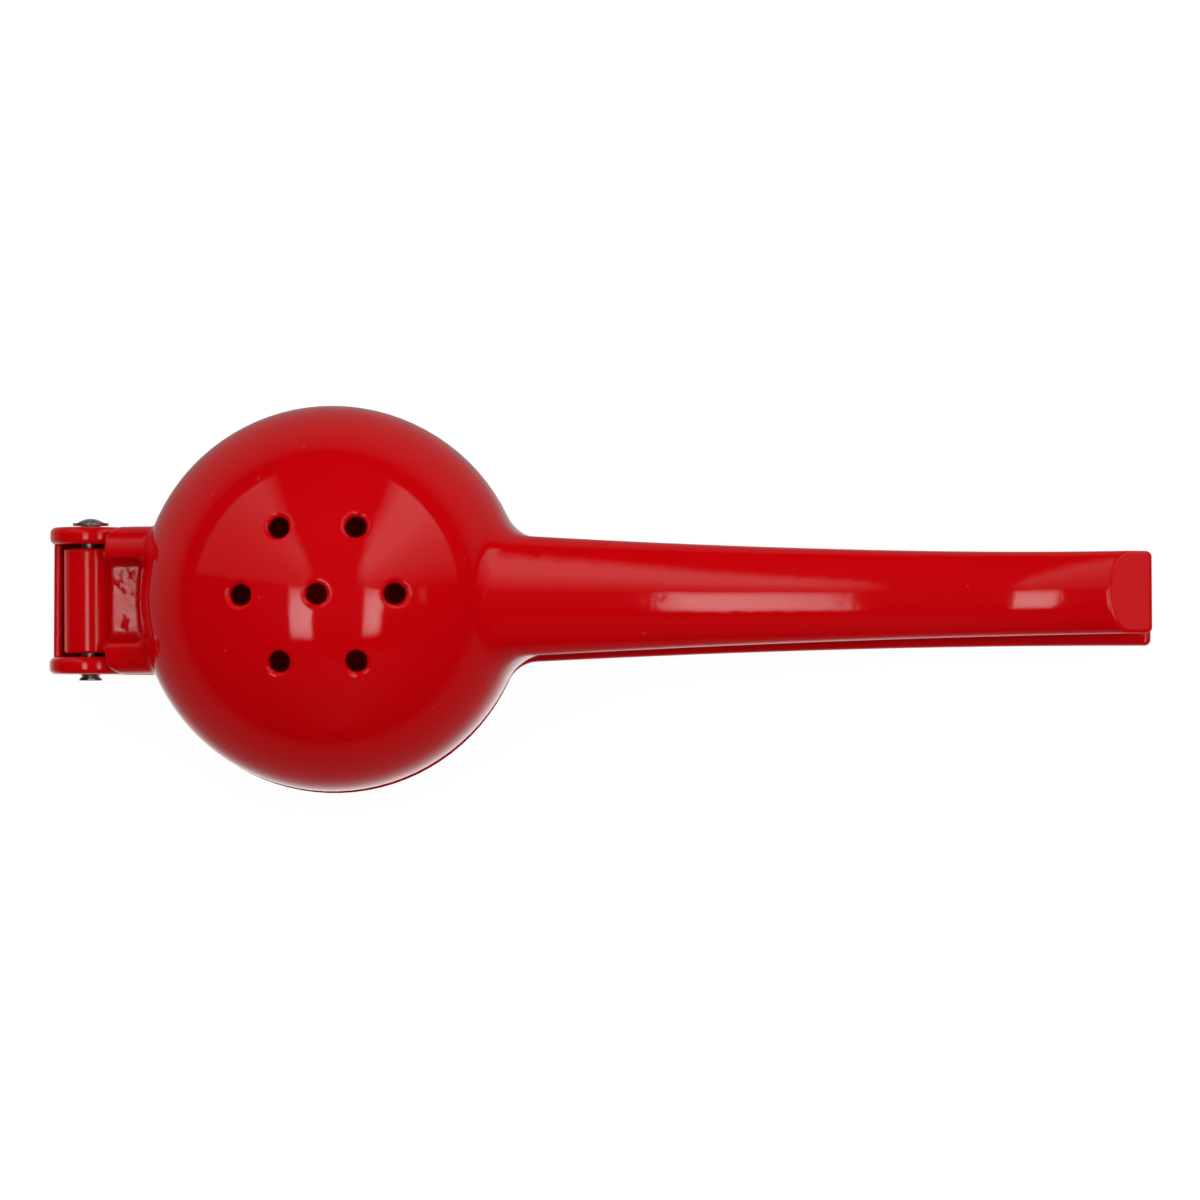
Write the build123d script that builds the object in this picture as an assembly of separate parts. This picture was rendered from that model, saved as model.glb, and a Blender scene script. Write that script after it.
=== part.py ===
from build123d import *
import os

# Lever squeezer for lemon halves: two cast arms on one hinge rivet, shown closed, bowl upwards.
# Millimetres. While the arms are built, X = 0 is the axis of the bowl, +X runs along the handles
# and Z = 0 is the table. The last step centres the object's box on the origin.

# Strainer bowl
bowl_radius = 38.5
bowl_wall = 4.0
bowl_skirt = 5.0
juice_hole = 4.1
juice_hole_ring = 15.05
juice_holes_in_ring = 6
juice_hole_lip = 0.9

# Press cup: a dome with a hollow back, a flange under the bowl's rim and a skirt down to the table
press_height = 16.6
press_setback = 0.15
press_draft = 0.8
press_wall = 4.0
foot_wall = 3.2
peel_gap = 4.5
dome_wall = 3.5
dome_root = 3.0
dish_round = 2.4
foot_edge = 1.0

# Fits between the arms
rim_gap = 0.4
handle_gap = 4.0
hinge_play = 0.6  # degrees by which the loose hinge lets the handles stand askew

# Handles: D-shaped bars, deep at the bowl, slim in the middle, flaring apart at the tips
handle_length = 124.7
root_cover = 2.73
handle_root_width = 25.2
handle_tip_width = 16.3
handle_width_power = 1.85
bowl_handle_root_depth = 30.2
bowl_handle_depth = 5.4
bowl_handle_flare = 7.5
bowl_handle_back_flare = 12.1
press_handle_root_depth = 12.0
press_handle_depth = 7.5
press_handle_flare = 1.0
press_handle_back_flare = 3.0
handle_depth_power = 2.66
handle_root_arch = 0.72
handle_tip_arch = 0.5
handle_flare_length = 50.2
handle_sections = 9
tip_facet = 8.4
tip_land = 1.8
tip_corner = 1.2
facet_edge = 0.6
handle_edge = 0.9
bowl_handle_blend = 8.0
blend_share = 0.65
press_handle_blend = 6.5

# Hinge
hinge_reach = 10.86
hinge_drop = 2.0
ear_radius = 8.2
ear_thickness = 3.45
ear_edge = 1.2
neck_width = 29.5
knuckle_radius = 5.4
knuckle_edge = 0.5
knuckle_blend = 0.6
knuckle_side_gap = 0.8
knuckle_trough_gap = 0.5
trough_drop = 0.6
trough_wall = 1.7
trough_edge = 0.7
shoulder_gap = 0.6
rail_height = 9.0
rail_rise = 0.17
rail_edge = 4.6
rail_end = 3.8
rail_end_edge = 0.6
rail_width = 6.5
pocket_floor = 3.0
pocket_round = 2.0
pocket_edge = 1.2
link_drop = 4.0
link_length = 8.6
link_gap = 0.9
neck_blend = 1.6

# Rivet
rivet_radius = 2.0
rivet_fit = 0.1
head_radius = 3.6
head_brim = 0.5
head_dome_radius = 2.7
head_dome_rise = 0.9
head_stand_off = 0.4
tail_length = 1.2
tail_lip = 0.35
tail_waist = 1.75
tail_flare = 2.3
tail_bore = 1.3
tail_bore_depth = 3.0

# Levels that the sizes above lead to
bowl_rim = press_height + rim_gap
bowl_centre = bowl_rim + bowl_skirt
cavity_radius = bowl_radius - bowl_wall
dome_radius = cavity_radius - peel_gap
root_rise = bowl_handle_root_depth + root_cover - bowl_skirt
root_start = (bowl_radius**2 - root_rise**2) ** 0.5
handle_reach = bowl_radius + handle_length
handle_flare_start = handle_reach - handle_flare_length
hinge_offset = bowl_radius + hinge_reach
pocket_width = neck_width - 2 * rail_width
press_flat = bowl_rim - handle_gap
press_radius = bowl_radius - press_setback
press_slope = press_draft / press_height
press_step = press_flat - 2 * handle_edge
dish_radius = press_radius - press_draft - foot_wall
dome_hollow = dome_radius - dome_wall
pin_level = bowl_rim - hinge_drop
pin = (-hinge_offset, 0, pin_level)
ear_inside = neck_width / 2 - ear_thickness
knuckle_half = ear_inside - knuckle_side_gap
trough_radius = knuckle_radius + knuckle_trough_gap
shoulder_radius = ear_radius + shoulder_gap
bore_radius = rivet_radius + rivet_fit


def turned(*outline):
    """Solid of revolution about the bowl axis from an outline drawn as (radius, height)."""
    return revolve(Plane.XZ * make_face(outline), Axis.Z)


def side_cut(*outline):
    """Slab with the given outline, drawn as (x, z), wider than any part of the arms."""
    return extrude(Plane.XZ * make_face(outline), 2 * bowl_radius, both=True)


def pin_drum(radius, length):
    """Drum about the hinge axis, centred between the ears."""
    return Pos(*pin) * Rot(90, 0, 0) * Cylinder(radius, length)


def block(x, half_width, z):
    """Box between the given limits along X and Z, centred across the arm."""
    middle = ((x[0] + x[1]) / 2, 0, (z[0] + z[1]) / 2)
    return Pos(*middle) * Box(x[1] - x[0], 2 * half_width, z[1] - z[0])


def flare_rise(x, flare):
    """Height by which a handle that flares by the given amount at its tip has left its level at x."""
    radius = (handle_flare_length**2 + flare**2) / (2 * flare)
    run = min(max(0, x - handle_flare_start), handle_flare_length)
    return radius - (radius**2 - run**2) ** 0.5


def handle(root_depth, slim_depth, flare, back_flare, flat, upward):
    """D-shaped bar with its flat face at the given height and its back turned up or down."""
    sections = []
    for number in range(handle_sections):
        share = number / (handle_sections - 1)
        x = root_start + share * (handle_reach - root_start)
        taper = (1 - share) ** handle_width_power
        half = (handle_tip_width + (handle_root_width - handle_tip_width) * taper) / 2
        thinning = (1 - share) ** handle_depth_power
        back = slim_depth + (root_depth - slim_depth) * thinning + flare_rise(x, back_flare)
        arch = half * (handle_root_arch + (handle_tip_arch - handle_root_arch) * share)
        outline = [
            Line((-half, -slim_depth), (half, -slim_depth)),
            Line((half, -slim_depth), (half, back - arch)),
            EllipticalCenterArc((0, back - arch), half, arch, 0, arc_size=180),
            Line((-half, back - arch), (-half, -slim_depth)),
        ]
        place = Plane(origin=(x, 0, flat), x_dir=(0, upward, 0), z_dir=(1, 0, 0))
        sections.append(place * make_face(outline))
    bar = loft(sections)

    # The flat face: level at the bowl, then a long arc that carries the tip away from the other arm
    below = flat - upward * 2 * slim_depth
    tip_level = flat + upward * flare
    level_run = Line((0, flat), (handle_flare_start, flat))
    flare_arc = TangentArc((handle_flare_start, flat), (handle_reach, tip_level), tangent=(1, 0))
    bar -= side_cut(
        level_run,
        flare_arc,
        Polyline((handle_reach, tip_level), (handle_reach, below), (0, below), (0, flat)),
    )
    end_edges = bar.faces().sort_by(Axis.X)[-1].edges().sort_by(Axis.Z, reverse=upward < 0)
    bar = fillet(end_edges[1:], tip_corner)

    # Slanted facet across the tip, from the back of the bar to a narrow land above the flat face
    land = tip_level + upward * tip_land
    facet_start = flat + upward * (slim_depth + flare_rise(handle_reach - tip_facet, back_flare))
    beyond = flat + upward * 2 * (slim_depth + back_flare)
    bar -= side_cut(
        Polyline(
            (handle_reach, land),
            (handle_reach - 2 * tip_facet, 2 * facet_start - land),
            (handle_reach - 2 * tip_facet, beyond),
            (handle_reach + tip_facet, beyond),
            (handle_reach + tip_facet, land),
            close=True,
        )
    )
    facet = bar.faces().filter_by(GeomType.PLANE).filter_by(slanted)[0]
    return fillet(facet.edges(), facet_edge)


def slanted(face):
    """True for a plane that is neither upright nor level."""
    return 0.1 < abs(face.normal_at().Z) < 0.99


def lengthwise(edge):
    """True for an edge that runs along the arm."""
    return abs(edge.tangent_at(0.5).X) > 0.9


def beside_pocket(edge):
    """True for an edge in one of the pocket's side walls."""
    return abs(abs(edge.center().Y) - pocket_width / 2) < 0.001


def flat_edges(arm, flare, flat, upward):
    """Outer edges of an arm's flat side, from the bowl or press round the handle's tip."""

    def on_flat(edge):
        for share in (0, 0.3, 0.7, 1):
            point = edge @ share
            level = flat + upward * flare_rise(point.X, flare)
            if abs(point.Z - level) > 0.001:
                return False
        return edge.center().X > -root_start and abs(edge.center().X - handle_flare_start) > handle_edge

    return arm.edges().filter_by(on_flat)


def leaving(seam, level):
    """Seam edges that leave a level, without those that lie in the flat face at that level."""
    return seam.filter_by(lambda edge: abs(edge.center().Z - level) > rim_gap)


def bowl_neck():
    """Two rails with a pocket between them, hollowed to swing round the ears, and the knuckle."""
    rail_start = rail_end - hinge_offset
    rail_top = pin_level + rail_height
    back_top = rail_top + rail_rise * (-root_start - rail_start)
    floor = pin_level + pocket_floor
    outline = Polyline(
        (rail_start, bowl_rim),
        (rail_start, rail_top),
        (-root_start, back_top),
        (-root_start, bowl_rim),
        close=True,
    )
    neck = extrude(Plane.XZ * make_face(outline), neck_width / 2, both=True)
    neck = fillet(neck.faces().filter_by(slanted)[0].edges().filter_by(lengthwise), rail_edge)
    front = neck.faces().sort_by(Axis.X)[0].edges().sort_by(Axis.Z)[1:]
    neck = fillet(front, rail_end_edge)
    pocket = block((-2 * hinge_offset, 0), pocket_width / 2, (floor, 2 * back_top))
    pocket = fillet(pocket.edges().filter_by(Axis.X).group_by(Axis.Z)[0], pocket_round)
    neck -= pocket
    brinks = neck.edges().filter_by(lengthwise).filter_by(beside_pocket).sort_by(Axis.Z)[-2:]
    neck = fillet(brinks, pocket_edge)
    for side in (-1, 1):
        neck -= Pos(0, side * (knuckle_half + neck_width), 0) * pin_drum(shoulder_radius, 2 * neck_width)
    link_end = -hinge_offset + link_length
    link = block((-hinge_offset, link_end), knuckle_half, (pin_level - link_drop, floor))
    knuckle = pin_drum(knuckle_radius, 2 * knuckle_half)
    knuckle = fillet(knuckle.edges().filter_by(GeomType.CIRCLE), knuckle_edge)
    neck += link + knuckle
    return fillet(neck.edges().filter_by(behind_knuckle), knuckle_blend)


def behind_knuckle(edge):
    """True for an edge in which the knuckle's drum runs out into the pocket and the rails."""
    point = edge @ 0.5
    x = point.X + hinge_offset
    z = point.Z - pin_level
    return abs((x**2 + z**2) ** 0.5 - knuckle_radius) < 0.01 and x > knuckle_edge and z > 0


def bowl_arm():
    """Casting with the strainer bowl, its handle, the neck with its pocket, and the knuckle."""
    bowl = turned(
        Line((0, bowl_rim), (bowl_radius, bowl_rim)),
        Line((bowl_radius, bowl_rim), (bowl_radius, bowl_centre)),
        CenterArc((0, bowl_centre), bowl_radius, 0, 90),
        Line((0, bowl_centre + bowl_radius), (0, bowl_rim)),
    )
    bar = handle(
        bowl_handle_root_depth, bowl_handle_depth, bowl_handle_flare, bowl_handle_back_flare, bowl_rim, 1
    )
    arm = bowl + bar
    over_root = bowl_centre + bowl_radius - bowl_rim - bowl_handle_root_depth
    blend = min(bowl_handle_blend, blend_share * over_root)
    arm = fillet(leaving(new_edges(bowl, bar, combined=arm), bowl_rim), blend)
    neck = bowl_neck()
    joined = arm + neck
    arm = fillet(leaving(new_edges(arm, neck, combined=joined), bowl_rim), neck_blend)

    # Cavity, rounded rim and handle edges
    arm -= turned(
        Line((0, 0), (cavity_radius, 0)),
        Line((cavity_radius, 0), (cavity_radius, bowl_centre)),
        CenterArc((0, bowl_centre), cavity_radius, 0, 90),
        Line((0, bowl_centre + cavity_radius), (0, 0)),
    )
    arm = fillet(flat_edges(arm, bowl_handle_flare, bowl_rim, 1), handle_edge)

    # Juice holes with softly rounded lips
    holes = [Pos(0, 0, 0), *PolarLocations(juice_hole_ring, juice_holes_in_ring)]
    drill = Pos(0, 0, bowl_centre + bowl_radius) * Cylinder(juice_hole / 2, 2 * bowl_radius)
    drilled = arm - [place * drill for place in holes]
    lips = new_edges(arm, combined=drilled).filter_by(GeomType.LINE, reverse=True)
    arm = fillet(lips, juice_hole_lip)
    return arm - pin_drum(bore_radius, neck_width)


def press_clevis():
    """Neck of the press arm, its two ears and the trough that joins them round the knuckle."""
    slot_end = -hinge_offset + link_length + link_gap
    bottom = pin_level - ear_radius
    clevis = block((slot_end, -root_start), neck_width / 2, (bottom, press_height))
    ear = fillet(Cylinder(ear_radius, ear_thickness).edges().filter_by(GeomType.CIRCLE), ear_edge)
    for side in (-1, 1):
        middle = side * (ear_inside + ear_thickness / 2)
        cheek = block((-hinge_offset, slot_end), ear_thickness / 2, (bottom, press_height))
        clevis += Pos(0, middle, 0) * cheek
        clevis += Pos(-hinge_offset, middle, pin_level) * Rot(90, 0, 0) * ear
    trough_back = trough_radius + trough_wall
    outer_arc = CenterArc((0, 0), trough_back, 180, 90)
    inner_arc = CenterArc((0, 0), trough_radius, 180, 90)
    trough = make_face(
        [
            outer_arc,
            Line(outer_arc @ 1, (link_length + link_gap, -trough_back)),
            Line((link_length + link_gap, -trough_back), (link_length + link_gap, -trough_radius)),
            Line((link_length + link_gap, -trough_radius), inner_arc @ 1),
            inner_arc,
            Line(inner_arc @ 0, outer_arc @ 0),
        ]
    )
    trough = fillet(trough.vertices().group_by(Axis.Y)[-1], trough_edge)
    wall = extrude(Plane.XZ * trough, ear_inside + ear_edge, both=True)
    return clevis + Pos(-hinge_offset, 0, pin_level - trough_drop) * wall


def skirt_radius(height):
    """Outer radius of the press cup at a height; the cup narrows towards the table."""
    return press_radius - press_slope * (press_height - height)


def press_arm():
    """Casting with the press dome, its hollow back, its handle, the neck and the hinge ears."""
    deep = -2 * press_handle_blend
    skirt = turned(
        Polyline(
            (0, deep),
            (skirt_radius(deep), deep),
            (skirt_radius(press_flat), press_flat),
            (0, press_flat),
            close=True,
        )
    )
    bar = handle(
        press_handle_root_depth,
        press_handle_depth,
        press_handle_flare,
        press_handle_back_flare,
        press_flat,
        -1,
    )
    arm = skirt + bar
    arm = fillet(leaving(new_edges(skirt, bar, combined=arm), press_flat), press_handle_blend)
    arm = fillet(flat_edges(arm, press_handle_flare, press_flat, -1), handle_edge)

    # Flange and dome
    dome = make_face(
        [
            Polyline(
                (0, press_height + dome_radius),
                (0, press_step),
                (skirt_radius(press_step), press_step),
                (press_radius, press_height),
                (dome_radius, press_height),
            ),
            CenterArc((0, press_height), dome_radius, 0, 90),
        ]
    )
    dome = fillet(dome.vertices().sort_by_distance((dome_radius, press_height))[0], dome_root)
    arm += revolve(Plane.XZ * dome, Axis.Z)
    clevis = press_clevis()
    joined = arm + clevis
    arm = fillet(leaving(new_edges(arm, clevis, combined=joined), press_height), neck_blend)

    # Level foot, then the hollow back
    arm -= block((-2 * hinge_offset, 2 * handle_reach), bowl_radius, (2 * deep, 0))
    dish = make_face(
        [
            Polyline(
                (0, press_height + dome_hollow),
                (0, deep),
                (dish_radius, deep),
                (dish_radius, press_height - press_wall),
                (dome_hollow, press_height - press_wall),
                (dome_hollow, press_height),
            ),
            CenterArc((0, press_height), dome_hollow, 0, 90),
        ]
    )
    ledge = press_height - press_wall
    corners = dish.vertices().filter_by_position(Axis.Y, ledge, ledge)
    dish = fillet(corners, dish_round)
    arm -= revolve(Plane.XZ * dish, Axis.Z)
    foot = arm.faces().sort_by(Axis.Z)[0]
    arm = fillet(foot.edges(), foot_edge)
    return arm - pin_drum(bore_radius, 2 * neck_width)


def hinge_rivet():
    """Rivet with a brimmed, domed head on one side and a flared, hollow tail on the other."""
    head = neck_width / 2 + head_stand_off
    tail = -neck_width / 2 - tail_length
    crown = head + head_brim + head_dome_rise
    outline = [
        Polyline(
            (0, crown),
            (0, tail + tail_bore_depth),
            (tail_bore, tail + tail_bore_depth),
            (tail_bore, tail),
            (tail_flare, tail),
            (tail_flare, tail + tail_lip),
            (tail_waist, tail + 2 * tail_lip),
            (rivet_radius, -neck_width / 2),
            (rivet_radius, head),
            (head_radius, head),
            (head_radius, head + head_brim),
            (head_dome_radius, head + head_brim),
        ),
        TangentArc((0, crown), (head_dome_radius, head + head_brim), tangent=(1, 0)),
    ]
    return Pos(*pin) * Rot(-90, 0, 0) * revolve(Plane.XZ * make_face(outline), Axis.Z)


def askew(arm, angle):
    """Turns an arm about the upright line through the middle of the hinge."""
    return Pos(*pin) * Rot(0, 0, angle) * Pos(-pin[0], -pin[1], -pin[2]) * arm


nodes = {
    "bowl_arm": askew(bowl_arm(), hinge_play / 2),
    "press_arm": askew(press_arm(), -hinge_play / 2),
    "hinge_rivet": hinge_rivet(),
}
boxes = [solid.bounding_box() for solid in nodes.values()]
middle_x = (min(box.min.X for box in boxes) + max(box.max.X for box in boxes)) / 2
middle_y = (min(box.min.Y for box in boxes) + max(box.max.Y for box in boxes)) / 2

os.makedirs("parts", exist_ok=True)
for name, solid in nodes.items():
    export_step(Pos(-middle_x, -middle_y, 0) * solid, f"parts/{name}.step")
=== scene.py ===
# %% [markdown]
# # A red enamelled lemon squeezer
#
# The real tool is two aluminium castings, coated in glossy red enamel and joined by one steel rivet.
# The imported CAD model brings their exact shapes, so this lesson is about what the eye sees first:
# a thick, wet-looking coat, the studio that is mirrored in it, and the dark little rivet.

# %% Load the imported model
import math

import bmesh
import bpy
from mathutils import Matrix, Vector


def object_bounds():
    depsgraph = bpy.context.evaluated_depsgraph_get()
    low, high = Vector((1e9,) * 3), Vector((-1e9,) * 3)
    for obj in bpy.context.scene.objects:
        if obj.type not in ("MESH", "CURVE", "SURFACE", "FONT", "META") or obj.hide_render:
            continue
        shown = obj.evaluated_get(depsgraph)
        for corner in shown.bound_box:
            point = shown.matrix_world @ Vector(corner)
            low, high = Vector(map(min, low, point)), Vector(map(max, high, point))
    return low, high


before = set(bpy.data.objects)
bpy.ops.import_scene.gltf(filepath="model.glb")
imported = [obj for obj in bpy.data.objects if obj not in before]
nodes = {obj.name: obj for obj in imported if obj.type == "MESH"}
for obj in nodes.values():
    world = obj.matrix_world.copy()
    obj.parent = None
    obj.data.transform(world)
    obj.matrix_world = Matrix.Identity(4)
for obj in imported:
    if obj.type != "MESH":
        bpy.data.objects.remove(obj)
cad_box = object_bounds()
scene = bpy.context.scene
print("pieces:", sorted(nodes), "box:", cad_box)

# %% [markdown]
# ## Camera
#
# The photograph looks straight down. Things that stand higher, such as the top of the bowl, are drawn
# a little further from the point under the lens. In the photo that point lies near the tips of the
# handles, and the lens leans a little to take in the whole tool. The frame's width is measured in the
# plane where the two arms part.

# %% Camera above the handles
PARTING = 0.017
CAMERA_HEIGHT = 1.6
CAMERA_OVER = (0.0832, -0.0387)
CAMERA_ROLL = math.radians(-0.12)
SENSOR_WIDTH = 36.0
FRAME_WIDTH = 0.24
FRAME_CENTRE = (0.0004, -0.0001)

camera_data = bpy.data.cameras.new("camera")
camera_data.sensor_fit = "AUTO"
camera_data.sensor_width = SENSOR_WIDTH
camera = bpy.data.objects.new("camera", camera_data)
scene.collection.objects.link(camera)
camera.location = (*CAMERA_OVER, PARTING + CAMERA_HEIGHT)
aim = Vector((*FRAME_CENTRE, PARTING)) - camera.location
camera_data.lens = SENSOR_WIDTH * aim.length / FRAME_WIDTH
back = -aim.normalized()
level = Vector((math.cos(CAMERA_ROLL), math.sin(CAMERA_ROLL), 0.0))
right = level - back * back.dot(level)
right.normalize()
camera.rotation_euler = Matrix((right, back.cross(right), back)).transposed().to_euler()
scene.camera = camera
print("lens:", round(camera_data.lens, 1), "mm")

# %% [markdown]
# ## Floor and studio
#
# The squeezer lies on a large white sweep. It is one square face just under the foot of the press cup.

# %% Floor sheet
FLOOR_HALF = 3.0
FLOOR_GAP = 0.0002

floor_mesh = bpy.data.meshes.new("floor")
bm = bmesh.new()
bmesh.ops.create_grid(bm, x_segments=1, y_segments=1, size=FLOOR_HALF)
bm.to_mesh(floor_mesh)
bm.free()
floor = bpy.data.objects.new("floor", floor_mesh)
scene.collection.objects.link(floor)
floor.location.z = cad_box[0][2] - FLOOR_GAP
print("floor at", round(floor.location.z, 4))

# %% [markdown]
# Floor, lamps and enamel are all shader nodes. Two helpers keep their wiring readable: one for sums and
# products, and one for a ramp that turns a number into a brightness.

# %% Helpers for shader nodes
WHITE = (1.0, 1.0, 1.0, 1.0)


def math_node(tree, operation, first, second):
    """Math node whose inputs are sockets or plain numbers; returns its output socket."""
    node = tree.nodes.new("ShaderNodeMath")
    node.operation = operation
    for socket, value in zip(node.inputs, (first, second)):
        if isinstance(value, bpy.types.NodeSocket):
            tree.links.new(value, socket)
        else:
            socket.default_value = value
    return node.outputs[0]


def ramp(tree, stops, factor):
    """Colour ramp in greys from (position, level) stops; returns its output socket."""
    node = tree.nodes.new("ShaderNodeValToRGB")
    elements = node.color_ramp.elements
    while len(elements) < len(stops):
        elements.new(1.0)
    for element, (position, brightness) in zip(elements, stops):
        element.position = position
        element.color = (brightness, brightness, brightness, 1.0)
    tree.links.new(factor, node.inputs["Fac"])
    return node.outputs["Color"]


print("helpers:", math_node.__name__, ramp.__name__)

# %% [markdown]
# A lit floor would never be quite even, so its shader shows plain white to the camera, with just enough
# of the lit surface mixed in to keep the shadow under the handles. Reflections see it too: on the near
# side it is white close to the piece that mirrors it, which draws the pale line round the bowl, and it
# fades with the distance. On the far side it starts dimmer and fades more slowly. From below the floor
# is clear, so that the squeezer can be looked at from there too.

# %% White sweep
FLOOR_PAINT = (0.9, 0.9, 0.9, 1.0)
FLOOR_WHITE_SHARE = 0.92
FLOOR_WHITE = 1.04
SEEN_REACH = 0.4
NEAR_SIDE = (
    (0.026, 1.0),
    (0.036, 0.42),
    (0.043, 0.2),
    (0.055, 0.13),
    (0.09, 0.09),
    (0.22, 0.06),
    (0.4, 0.0),
)
FAR_SIDE = ((0.020, 0.32), (0.036, 0.21), (0.05, 0.18), (0.13, 0.15), (0.22, 0.09), (0.4, 0.0))
SIDE_BLEND = (-0.02, 0.03)

floor_material = bpy.data.materials.new("white_sweep")
floor_material.use_nodes = True
tree = floor_material.node_tree
tree.nodes.clear()
path = tree.nodes.new("ShaderNodeLightPath")
mirrored = math_node(tree, "MAXIMUM", path.outputs["Is Glossy Ray"], path.outputs["Is Transmission Ray"])
share_of_reach = math_node(tree, "DIVIDE", path.outputs["Ray Length"], SEEN_REACH)
ground = tree.nodes.new("ShaderNodeNewGeometry")
axes = tree.nodes.new("ShaderNodeSeparateXYZ")
tree.links.new(ground.outputs["Position"], axes.inputs[0])
side = tree.nodes.new("ShaderNodeMapRange")
side.inputs["From Min"].default_value, side.inputs["From Max"].default_value = SIDE_BLEND
tree.links.new(axes.outputs["Y"], side.inputs["Value"])
seen = tree.nodes.new("ShaderNodeMix")
seen.data_type = "RGBA"
tree.links.new(side.outputs["Result"], seen.inputs["Factor"])
for stops, socket_name in ((NEAR_SIDE, "A"), (FAR_SIDE, "B")):
    shares = [(length / SEEN_REACH, brightness) for length, brightness in stops]
    tree.links.new(ramp(tree, shares, share_of_reach), seen.inputs[socket_name])
print("floor ramps:", len(NEAR_SIDE), "and", len(FAR_SIDE), "stops")

# %% Camera white, shadow and clear back
lit = tree.nodes.new("ShaderNodeBsdfDiffuse")
lit.inputs["Color"].default_value = FLOOR_PAINT
glow = tree.nodes.new("ShaderNodeEmission")
glow.inputs["Color"].default_value = WHITE
dimmed = math_node(tree, "MULTIPLY", mirrored, seen.outputs["Result"])
shown = math_node(tree, "MULTIPLY", path.outputs["Is Camera Ray"], FLOOR_WHITE)
tree.links.new(math_node(tree, "ADD", shown, dimmed), glow.inputs["Strength"])
white_share = math_node(tree, "MULTIPLY", path.outputs["Is Camera Ray"], FLOOR_WHITE_SHARE)
blend = tree.nodes.new("ShaderNodeMixShader")
tree.links.new(math_node(tree, "ADD", white_share, mirrored), blend.inputs["Fac"])
tree.links.new(lit.outputs[0], blend.inputs[1])
tree.links.new(glow.outputs[0], blend.inputs[2])
clear = tree.nodes.new("ShaderNodeBsdfTransparent")
one_sided = tree.nodes.new("ShaderNodeMixShader")
tree.links.new(ground.outputs["Backfacing"], one_sided.inputs["Fac"])
tree.links.new(blend.outputs[0], one_sided.inputs[1])
tree.links.new(clear.outputs[0], one_sided.inputs[2])
output = tree.nodes.new("ShaderNodeOutputMaterial")
tree.links.new(one_sided.outputs[0], output.inputs["Surface"])
floor_mesh.materials.append(floor_material)
print("floor material:", floor_material.name)

# %% [markdown]
# The lamps that the enamel mirrors hang in one level above the squeezer. They are glowing sheets, so that
# each can be brighter in one place than in another, and only reflections see them.

# %% Glowing sheets
LAMP_HEIGHT = 0.60


def sheet(name, place, corners, paint):
    """Glowing flat sheet at the lamps' height; paint builds its brightness from the sheet's own X and Y."""
    mesh = bpy.data.meshes.new(name)
    bm = bmesh.new()
    bm.faces.new([bm.verts.new((x, y, 0.0)) for x, y in corners])
    bm.to_mesh(mesh)
    bm.free()
    rig = bpy.data.objects.new(name, mesh)
    scene.collection.objects.link(rig)
    rig.location = (*place, LAMP_HEIGHT)
    rig.visible_camera = False
    rig.visible_diffuse = False
    rig.visible_shadow = False
    material = bpy.data.materials.new(name)
    material.use_nodes = True
    tree = material.node_tree
    tree.nodes.clear()
    output = tree.nodes.new("ShaderNodeOutputMaterial")
    glow = tree.nodes.new("ShaderNodeEmission")
    spot = tree.nodes.new("ShaderNodeTexCoord")
    axes = tree.nodes.new("ShaderNodeSeparateXYZ")
    tree.links.new(spot.outputs["Object"], axes.inputs[0])
    tree.links.new(paint(tree, axes.outputs["X"], axes.outputs["Y"]), glow.inputs["Strength"])
    tree.links.new(glow.outputs[0], output.inputs["Surface"])
    mesh.materials.append(material)
    return rig


print("sheets hang at", LAMP_HEIGHT, "m")

# %% [markdown]
# Two strips left and right of the lens are the pale bars on the bowl and on the handle. They fade at
# their ends, as the highlights in the photo do.

# %% Strip lamps beside the lens
BAR_RADIANCE = 4.3
BAR_ALONG = (-0.275, 0.065)
BAR_FADE = ((0.0, 0.1), (0.14, 0.8), (0.35, 1.0), (0.75, 0.9), (0.92, 0.5), (1.0, 0.15))
LEFT_BAR_SPAN = (-0.272, -0.127)
LEFT_BAR_ACROSS = ((0.0, 0.3), (0.12, 0.9), (0.6, 1.0), (0.95, 1.0), (1.0, 0.4))
RIGHT_BAR_SPAN = (0.188, 0.330)
RIGHT_BAR_ACROSS = ((0.0, 0.35), (0.12, 0.75), (0.4, 0.95), (0.7, 1.0), (1.0, 0.5))


def bar(name, span, across):
    """Strip lamp between two places along X; its brightness changes across it and fades at its ends."""
    width = span[1] - span[0]
    length = BAR_ALONG[1] - BAR_ALONG[0]

    def paint(tree, x, y):
        side = ramp(tree, across, math_node(tree, "DIVIDE", x, width))
        end = ramp(tree, BAR_FADE, math_node(tree, "DIVIDE", y, length))
        return math_node(tree, "MULTIPLY", math_node(tree, "MULTIPLY", side, end), BAR_RADIANCE)

    return sheet(name, (span[0], BAR_ALONG[0]), ((0, 0), (width, 0), (width, length), (0, length)), paint)


bars = [
    bar("left_bar", LEFT_BAR_SPAN, LEFT_BAR_ACROSS),
    bar("right_bar", RIGHT_BAR_SPAN, RIGHT_BAR_ACROSS),
]
print("bars:", [rig.name for rig in bars])

# %% [markdown]
# Behind the strips two softboxes fan out and give the veils on the upper half of the bowl. Each is
# brightest towards its far side. It fades round to its outer edge and along its inner edge, so that the
# veil has no hard corner on the handle.

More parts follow.
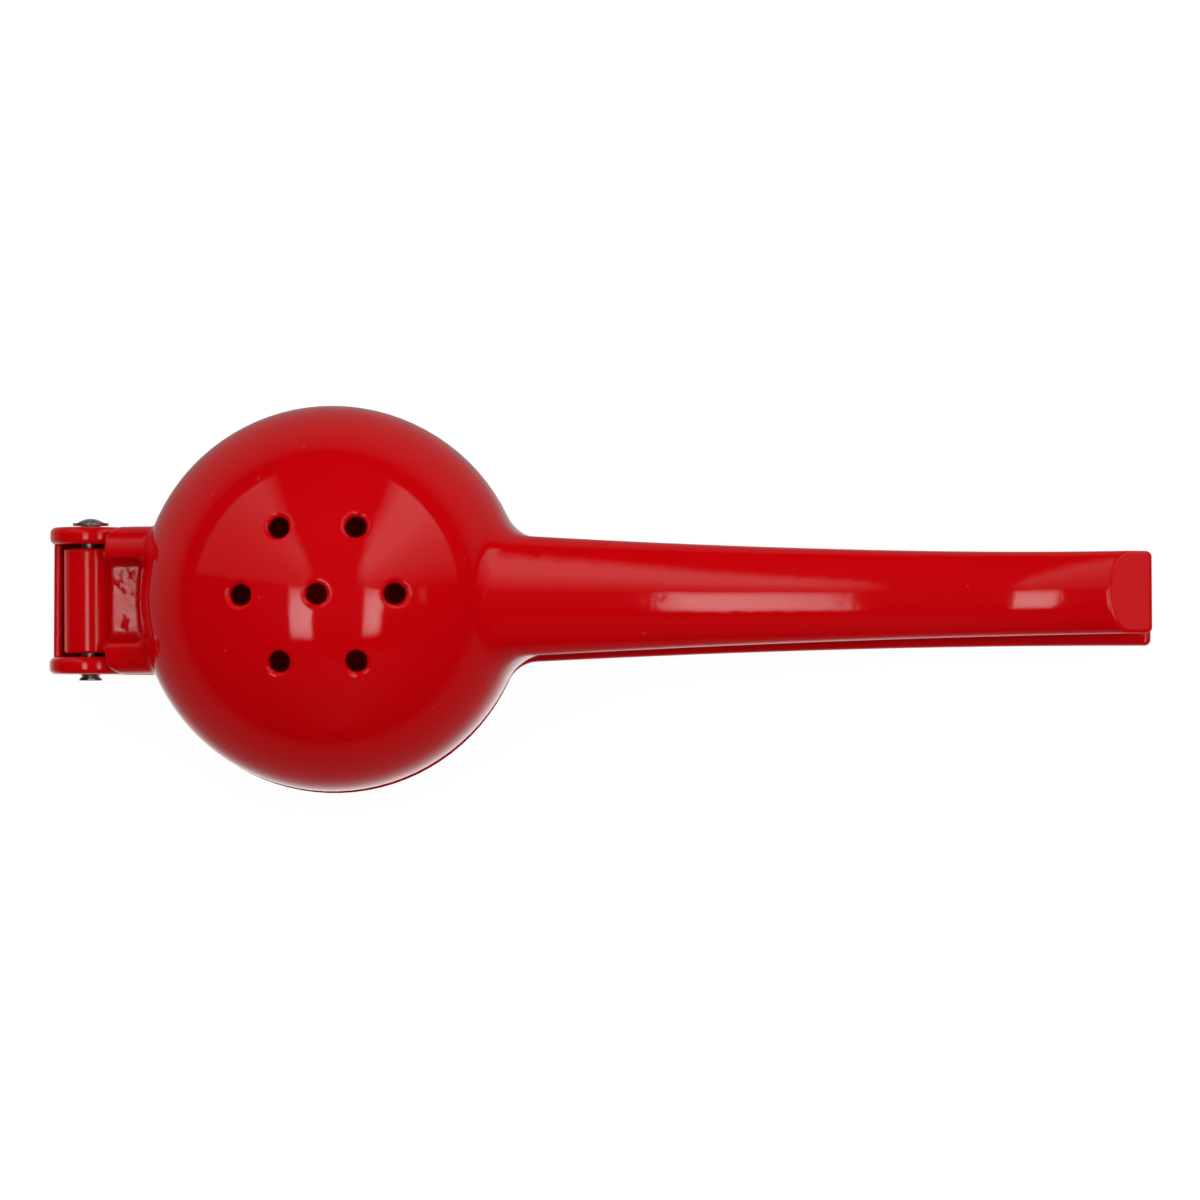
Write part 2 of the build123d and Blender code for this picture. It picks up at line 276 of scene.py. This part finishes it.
# %% Softboxes that fan out
QUARTER_TURN = 90.0
BOX_LENGTH = 8.0
BOX_INNER_FADE = 0.08
FADE_IN = ((0.0, 0.0), (1.0, 1.0))
LEFT_BOX_APEX = (-0.06, 0.03)
LEFT_BOX_INNER = 0.05
LEFT_BOX_LEVELS = ((10, 0.14), (35, 0.27), (58, 0.6), (67, 0.0))
RIGHT_BOX_APEX = (0.07, 0.03)
RIGHT_BOX_INNER = 0.07
RIGHT_BOX_LEVELS = ((5, 0.0), (17, 0.24), (30, 0.5), (44, 1.0), (57, 1.0), (66, 0.0))


def softbox(name, apex, side, inner, levels):
    """Fan round an apex, to one side of the lens; levels gives its brightness at angles from the X axis."""
    low = math.radians(levels[0][0])
    high = math.radians(levels[-1][0])
    corners = [
        (inner, inner * math.tan(low)),
        (BOX_LENGTH * math.cos(low), BOX_LENGTH * math.sin(low)),
        (BOX_LENGTH * math.cos(high), BOX_LENGTH * math.sin(high)),
        (inner, inner * math.tan(high)),
    ]

    def paint(tree, x, y):
        outward = math_node(tree, "MULTIPLY", x, side)
        angle = math_node(tree, "ARCTAN2", y, outward)
        stops = [(degrees / QUARTER_TURN, brightness) for degrees, brightness in levels]
        round_fan = ramp(tree, stops, math_node(tree, "DIVIDE", angle, math.radians(QUARTER_TURN)))
        from_inner = math_node(tree, "SUBTRACT", outward, inner)
        inner_fade = ramp(tree, FADE_IN, math_node(tree, "DIVIDE", from_inner, BOX_INNER_FADE))
        return math_node(tree, "MULTIPLY", round_fan, inner_fade)

    return sheet(name, apex, [(side * x, y) for x, y in corners], paint)


boxes = [
    softbox("left_softbox", LEFT_BOX_APEX, -1, LEFT_BOX_INNER, LEFT_BOX_LEVELS),
    softbox("right_softbox", RIGHT_BOX_APEX, 1, RIGHT_BOX_INNER, RIGHT_BOX_LEVELS),
]
print("softboxes:", [rig.name for rig in boxes])

# %% [markdown]
# Two more sheets are dim. One fades to its sides and stands for the wall behind the photographer. The
# other, a small card far to the right, lightens the cut-off tip of the handle.

# %% Wall and card
WALL_SPAN = (-0.9, 1.3)
WALL_ALONG = (-8.0, -0.42)
WALL_RADIANCE = 0.05
WALL_FADE = ((0.0, 0.0), (0.5, 1.0), (1.0, 0.0))
CARD_SPAN = (0.86, 1.03)
CARD_ALONG = (-0.05, 0.11)
CARD_RADIANCE = 0.3
CARD_FADE = ((0.0, 0.9), (0.5, 1.0), (1.0, 0.9))


def panel(name, span, along, radiance, fade):
    """Dim rectangle between two places along X and two along Y; fade gives its level across X."""
    near, far = along
    width = span[1] - span[0]

    def paint(tree, x, y):
        across = ramp(tree, fade, math_node(tree, "DIVIDE", x, width))
        return math_node(tree, "MULTIPLY", across, radiance)

    return sheet(name, (span[0], 0.0), ((0.0, near), (width, near), (width, far), (0.0, far)), paint)


panels = [
    panel("wall", WALL_SPAN, WALL_ALONG, WALL_RADIANCE, WALL_FADE),
    panel("card", CARD_SPAN, CARD_ALONG, CARD_RADIANCE, CARD_FADE),
]
print("panels:", [rig.name for rig in panels])

# %% [markdown]
# A large lamp that reflections do not see brings the red to its level.

# %% Fill
FILL_CENTRE = (0.25, 0.42, 0.62)
FILL_SIZE = (1.6, 1.2)
FILL_RADIANCE = 1.25

fill_data = bpy.data.lights.new("fill", "AREA")
fill_data.shape = "RECTANGLE"
fill_data.size, fill_data.size_y = FILL_SIZE
fill_data.energy = FILL_RADIANCE * math.pi * fill_data.size * fill_data.size_y
fill = bpy.data.objects.new("fill", fill_data)
scene.collection.objects.link(fill)
fill.location = FILL_CENTRE
fill.visible_glossy = False
fill.visible_transmission = False
print("fill:", round(fill_data.energy, 1), "W")

# %% [markdown]
# The room itself is almost black where it is mirrored, but pale walls send some light from all round. The
# camera sees it white, as it sees the floor, so that the backdrop is plain from below as well.

# %% Room
ROOM_LIGHT = 0.46
ROOM_SEEN = 0.004
ROOM_WHITE = 1.0

world = bpy.data.worlds.new("studio")
scene.world = world
world.use_nodes = True
tree = world.node_tree
backdrop = tree.nodes["Background"]
backdrop.inputs["Color"].default_value = WHITE
path = tree.nodes.new("ShaderNodeLightPath")
soft_light = math_node(tree, "MULTIPLY", path.outputs["Is Diffuse Ray"], ROOM_LIGHT)
seen_white = math_node(tree, "MULTIPLY", path.outputs["Is Camera Ray"], ROOM_WHITE)
room = math_node(tree, "ADD", soft_light, seen_white)
tree.links.new(math_node(tree, "ADD", room, ROOM_SEEN), backdrop.inputs["Strength"])
scene.view_settings.view_transform = "Standard"
print("view transform:", scene.view_settings.view_transform)

# %% [markdown]
# ## Enamel
#
# Enamel is pigment in a clear, hard film. A Principled shader with a low roughness mirrors the lamps
# sharply, while the red below stays deep. The film is never perfectly flat: a faint ripple bends the
# mirrored edges, the colour is a little uneven where the coat ran thicker, and specks of dust lie in it.
# Both arms share these effects, so they are one node group.

# %% Ripple, thickness and specks as one node group
WAVE_DETAIL = 1.0
SAG_SCALE = 70.0
SAG_SHARE = 2.5
GRAIN_SCALE = 1900.0
GRAIN_DETAIL = 2.0
GRAIN_SHARE = 0.45
THICKNESS_SCALE = 28.0
THICKNESS_DETAIL = 3.0
DUST_SCALE = 130.0
DUST_REACH = 0.045


def noise(tree, where, scale, detail):
    """Noise at the given coordinates; the scale is a number or a socket."""
    node = tree.nodes.new("ShaderNodeTexNoise")
    node.inputs["Detail"].default_value = detail
    if isinstance(scale, bpy.types.NodeSocket):
        tree.links.new(scale, node.inputs["Scale"])
    else:
        node.inputs["Scale"].default_value = scale
    tree.links.new(where, node.inputs["Vector"])
    return node.outputs["Fac"]


film_group = bpy.data.node_groups.new("enamel_film", "ShaderNodeTree")
film_group.interface.new_socket("Ripple Scale", in_out="INPUT", socket_type="NodeSocketFloat")
for socket_name in ("Height", "Thickness", "Specks"):
    film_group.interface.new_socket(socket_name, in_out="OUTPUT", socket_type="NodeSocketFloat")
group_in = film_group.nodes.new("NodeGroupInput")
group_out = film_group.nodes.new("NodeGroupOutput")
where = film_group.nodes.new("ShaderNodeTexCoord").outputs["Object"]
ripple = noise(film_group, where, group_in.outputs["Ripple Scale"], WAVE_DETAIL)
sag = math_node(film_group, "MULTIPLY", noise(film_group, where, SAG_SCALE, WAVE_DETAIL), SAG_SHARE)
fine = noise(film_group, where, GRAIN_SCALE, GRAIN_DETAIL)
grain = math_node(film_group, "MULTIPLY", fine, GRAIN_SHARE)
waves = math_node(film_group, "ADD", ripple, sag)
film_group.links.new(math_node(film_group, "ADD", waves, grain), group_out.inputs["Height"])
thickness = noise(film_group, where, THICKNESS_SCALE, THICKNESS_DETAIL)
film_group.links.new(thickness, group_out.inputs["Thickness"])
dots = film_group.nodes.new("ShaderNodeTexVoronoi")
dots.inputs["Scale"].default_value = DUST_SCALE
film_group.links.new(where, dots.inputs["Vector"])
specks = math_node(film_group, "LESS_THAN", dots.outputs["Distance"], DUST_REACH)
film_group.links.new(specks, group_out.inputs["Specks"])
print("film group sockets:", [item.name for item in film_group.interface.items_tree])

# %% [markdown]
# In the pocket behind the knuckle the enamel ran together and set in waves. There the bowl arm's coat
# gets a second, coarser bump, inside an egg-shaped space round the pocket.

# %% Pooled enamel in the pocket
POOL_CENTRE = (-0.0947, 0.0, 0.018)
POOL_HALF = (0.0040, 0.0095, 0.0030)
POOL_REACH = 1.3
POOL_DEPTH = 0.00035
POOL_WAVE_SCALE = 150.0
POOL_WAVE_DETAIL = 2.5


def pooled(tree, normal):
    """Waves of enamel that ran together in the pocket behind the knuckle; returns the bent normal."""
    where = tree.nodes.new("ShaderNodeTexCoord").outputs["Object"]
    offset = tree.nodes.new("ShaderNodeVectorMath")
    offset.operation = "SUBTRACT"
    offset.inputs[1].default_value = POOL_CENTRE
    tree.links.new(where, offset.inputs[0])
    scaled = tree.nodes.new("ShaderNodeVectorMath")
    scaled.operation = "DIVIDE"
    scaled.inputs[1].default_value = POOL_HALF
    tree.links.new(offset.outputs["Vector"], scaled.inputs[0])
    reach = tree.nodes.new("ShaderNodeVectorMath")
    reach.operation = "LENGTH"
    tree.links.new(scaled.outputs["Vector"], reach.inputs[0])
    inside = math_node(tree, "LESS_THAN", reach.outputs["Value"], POOL_REACH)
    bump = tree.nodes.new("ShaderNodeBump")
    bump.inputs["Distance"].default_value = POOL_DEPTH
    tree.links.new(inside, bump.inputs["Strength"])
    tree.links.new(noise(tree, where, POOL_WAVE_SCALE, POOL_WAVE_DETAIL), bump.inputs["Height"])
    tree.links.new(normal, bump.inputs["Normal"])
    return bump.outputs["Normal"]


print("pool round", POOL_CENTRE)

# %% [markdown]
# The coat itself mixes two reds by the film's thickness, lays the dust over them, rounds the edges where
# enamel gathers, and bends the mirror with the film's height.

# %% Red enamel
THIN_FILM = (0.53, 0.0006, 0.0028)
THICK_FILM = (0.49, 0.0002, 0.0020)
GLOSS_ROUGHNESS = 0.06
FILM_IOR = 1.5
RIPPLE_SCALE = 420.0
FILM_BUMP = 0.35
FILM_DEPTH = 0.00002
DUST_COLOUR = (0.6, 0.09, 0.1, 1.0)
DUST_SHARE = 0.2
EDGE_ROUND = 0.0009
EDGE_SAMPLES = 6


def enamel(name, thin, thick, pool):
    """Glossy coat over a red ground, between a colour for thin and one for thick film."""
    material = bpy.data.materials.new(name)
    material.use_nodes = True
    tree = material.node_tree
    shader = tree.nodes["Principled BSDF"]
    shader.inputs["Roughness"].default_value = GLOSS_ROUGHNESS
    shader.inputs["IOR"].default_value = FILM_IOR
    film = tree.nodes.new("ShaderNodeGroup")
    film.node_tree = film_group
    film.inputs["Ripple Scale"].default_value = RIPPLE_SCALE
    tint = tree.nodes.new("ShaderNodeMix")
    tint.data_type = "RGBA"
    tint.inputs["A"].default_value = (*thin, 1.0)
    tint.inputs["B"].default_value = (*thick, 1.0)
    tree.links.new(film.outputs["Thickness"], tint.inputs["Factor"])
    dust = tree.nodes.new("ShaderNodeMix")
    dust.data_type = "RGBA"
    dust.inputs["B"].default_value = DUST_COLOUR
    tree.links.new(math_node(tree, "MULTIPLY", film.outputs["Specks"], DUST_SHARE), dust.inputs["Factor"])
    tree.links.new(tint.outputs["Result"], dust.inputs["A"])
    tree.links.new(dust.outputs["Result"], shader.inputs["Base Color"])
    soft_edge = tree.nodes.new("ShaderNodeBevel")
    soft_edge.samples = EDGE_SAMPLES
    soft_edge.inputs["Radius"].default_value = EDGE_ROUND
    bump = tree.nodes.new("ShaderNodeBump")
    bump.inputs["Strength"].default_value = FILM_BUMP
    bump.inputs["Distance"].default_value = FILM_DEPTH
    tree.links.new(film.outputs["Height"], bump.inputs["Height"])
    tree.links.new(soft_edge.outputs["Normal"], bump.inputs["Normal"])
    surface = bump.outputs["Normal"]
    if pool:
        surface = pooled(tree, surface)
    tree.links.new(surface, shader.inputs["Normal"])
    return material


def coat(name, material):
    """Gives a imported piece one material."""
    mesh = nodes[name].data
    mesh.materials.clear()
    mesh.materials.append(material)


coat("bowl_arm", enamel("bowl_enamel", THIN_FILM, THICK_FILM, True))
coat("press_arm", enamel("press_enamel", THIN_FILM, THICK_FILM, False))
print("enamel on: bowl_arm, press_arm")

# %% [markdown]
# ## Rivet
#
# The rivet is plain steel, dulled by handling. One fine noise stains it between pale grey and dark brown,
# and makes it rougher and a little higher where it is pale.

# %% Dulled steel
STAIN_DARK = (0.20, 0.15, 0.12, 1.0)
STAIN_PALE = (0.75, 0.73, 0.71, 1.0)
STAIN_RANGE = (0.35, 0.65)
MOTTLE_SCALE = 900.0
MOTTLE_DETAIL = 4.0
STEEL_ROUGHNESS = 0.8
STEEL_BUMP = 0.4
STEEL_DEPTH = 0.00005

steel = bpy.data.materials.new("rivet_steel")
steel.use_nodes = True
tree = steel.node_tree
shader = tree.nodes["Principled BSDF"]
shader.inputs["Metallic"].default_value = 1.0
where = tree.nodes.new("ShaderNodeTexCoord").outputs["Object"]
mottle = noise(tree, where, MOTTLE_SCALE, MOTTLE_DETAIL)
stain = tree.nodes.new("ShaderNodeValToRGB")
for element, place, colour in zip(stain.color_ramp.elements, STAIN_RANGE, (STAIN_DARK, STAIN_PALE)):
    element.position = place
    element.color = colour
tree.links.new(mottle, stain.inputs["Fac"])
tree.links.new(stain.outputs["Color"], shader.inputs["Base Color"])
tree.links.new(math_node(tree, "MULTIPLY", mottle, STEEL_ROUGHNESS), shader.inputs["Roughness"])
bump = tree.nodes.new("ShaderNodeBump")
bump.inputs["Strength"].default_value = STEEL_BUMP
bump.inputs["Distance"].default_value = STEEL_DEPTH
tree.links.new(mottle, bump.inputs["Height"])
tree.links.new(bump.outputs["Normal"], shader.inputs["Normal"])
coat("hinge_rivet", steel)
print("steel on: hinge_rivet")
